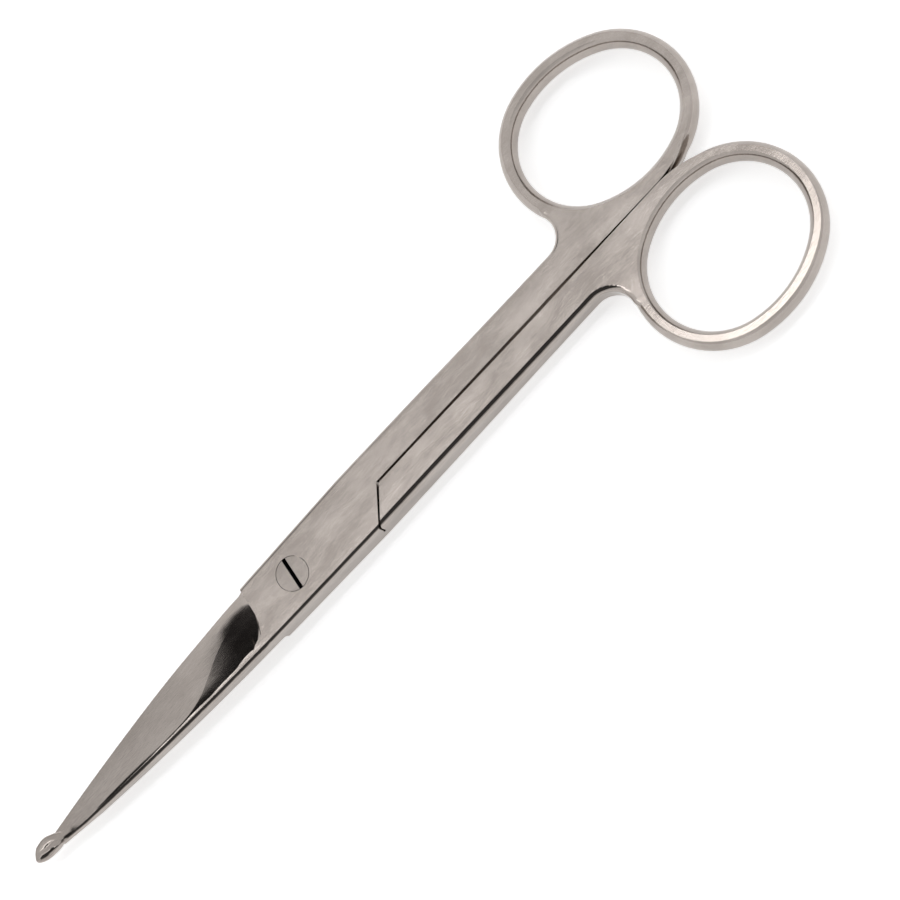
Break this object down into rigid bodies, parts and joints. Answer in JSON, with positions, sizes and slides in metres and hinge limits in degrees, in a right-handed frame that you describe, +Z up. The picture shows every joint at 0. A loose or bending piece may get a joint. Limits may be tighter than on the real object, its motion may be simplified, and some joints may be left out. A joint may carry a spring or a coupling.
{
  "type": "dressing scissors",
  "caption": "Straight dressing scissors with a lap joint, slotted pivot screw, ground blades, a probe bead at the tip and oval finger rings.",
  "frame": {"origin": "on the pivot axis, at the flat under face of the lap joint that the closed scissors rest on", "axes": "+X from the pivot towards the tips, +Y towards the lower half's finger ring, +Z up along the pivot axis, towards the screw head"},
  "size_m": [0.145, 0.0514, 0.0046],
  "materials": {
    "satin_steel": "satin, brushed lengthwise",
    "screw_steel": "satin, brushed with the face it lies in"
  },
  "bodies": {
    "lower_half": {"plain_blade_half": "satin_steel", "pivot_screw": "screw_steel"},
    "upper_half": {"probe_blade_half": "satin_steel"}
  },
  "joints": [
    {"name": "pivot", "type": "hinge", "parent": "lower_half", "child": "upper_half", "pos_m": [0, 0, 0.0023], "axis": [0, 0, 1], "range_deg": [0, 110]}
  ]
}
